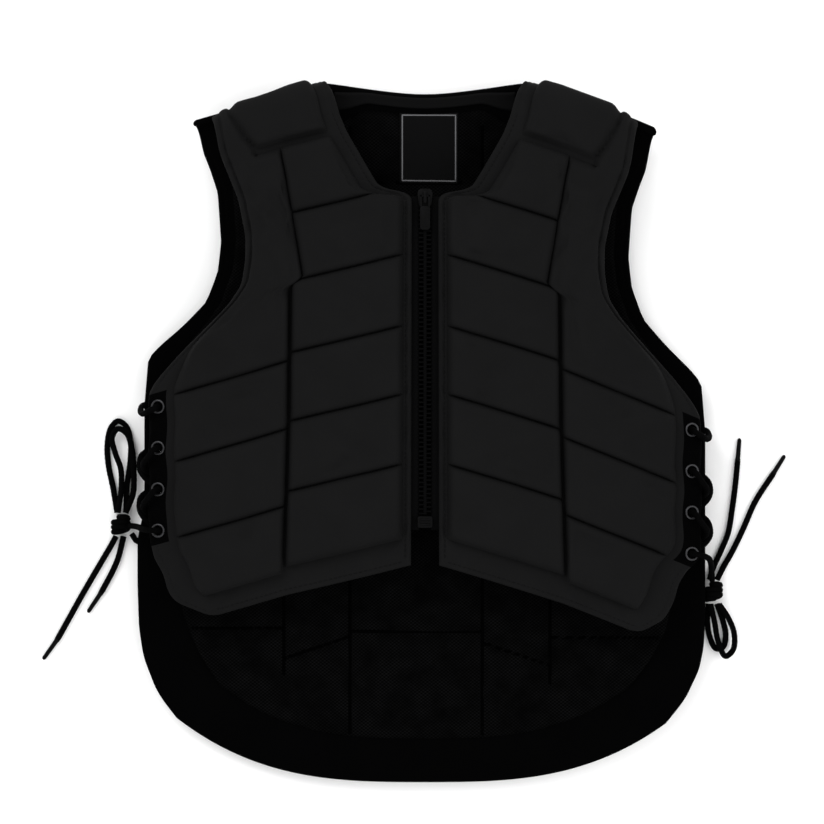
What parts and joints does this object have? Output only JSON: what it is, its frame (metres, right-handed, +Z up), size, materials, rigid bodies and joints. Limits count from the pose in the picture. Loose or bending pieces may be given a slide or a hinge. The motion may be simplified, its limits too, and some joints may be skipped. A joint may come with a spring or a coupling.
{
  "type": "equestrian body protector",
  "caption": "Black padded riding body protector vest lying flat on its back, with front zip, V neck, foam block panels, long rounded tail and laced sides tied in bows.",
  "frame": {"origin": "middle of the vest's footprint on the floor, free lace ends and bows left out", "axes": "+X to the viewer's right, +Y from the tail to the shoulders, +Z up from the back to the front"},
  "size_m": [0.5486, 0.5138, 0.0743],
  "materials": {
    "shell_fabric": "matte woven black",
    "lining_mesh": "open mesh weave",
    "woven_trim": "tight weave",
    "lace": "round braid",
    "dark_plastic": "moulded black",
    "zip_metal": "black enamel",
    "eyelet_metal": "dark gunmetal plating"
  },
  "bodies": {
    "vest": {"back_panel": "shell_fabric", "front_panel_left": "shell_fabric", "front_panel_right": "shell_fabric", "back_lining": "lining_mesh", "neck_label": "woven_trim", "zip_tape_left": "woven_trim", "zip_tape_right": "woven_trim", "lacing_left": "lace", "lacing_right": "lace", "bow_knot_left": "lace", "bow_knot_right": "lace", "bow_loop_left_1": "lace", "bow_loop_left_2": "lace", "bow_loop_right_1": "lace", "bow_loop_right_2": "lace", "lace_end_left_1": "lace", "lace_end_left_2": "lace", "lace_end_right_1": "lace", "lace_end_right_2": "lace", "zip_chain": "dark_plastic", "zip_end_box": "dark_plastic", "aglet_left_1": "dark_plastic", "aglet_left_2": "dark_plastic", "aglet_right_1": "dark_plastic", "aglet_right_2": "dark_plastic", "zip_slider": "zip_metal", "eyelet_front_left_1": "eyelet_metal", "eyelet_front_left_2": "eyelet_metal", "eyelet_front_left_3": "eyelet_metal", "eyelet_front_left_4": "eyelet_metal", "eyelet_front_right_1": "eyelet_metal", "eyelet_front_right_2": "eyelet_metal", "eyelet_front_right_3": "eyelet_metal", "eyelet_front_right_4": "eyelet_metal", "eyelet_back_left_1": "eyelet_metal", "eyelet_back_left_2": "eyelet_metal", "eyelet_back_left_3": "eyelet_metal", "eyelet_back_left_4": "eyelet_metal", "eyelet_back_right_1": "eyelet_metal", "eyelet_back_right_2": "eyelet_metal", "eyelet_back_right_3": "eyelet_metal", "eyelet_back_right_4": "eyelet_metal"},
    "zip_pull": {"zip_pull": "zip_metal"}
  },
  "joints": [
    {"name": "zip_pull_hinge", "type": "hinge", "parent": "vest", "child": "zip_pull", "pos_m": [0.00186, 0.16926, 0.06126], "axis": [-1, 0, 0], "range_deg": [0, 160]}
  ]
}
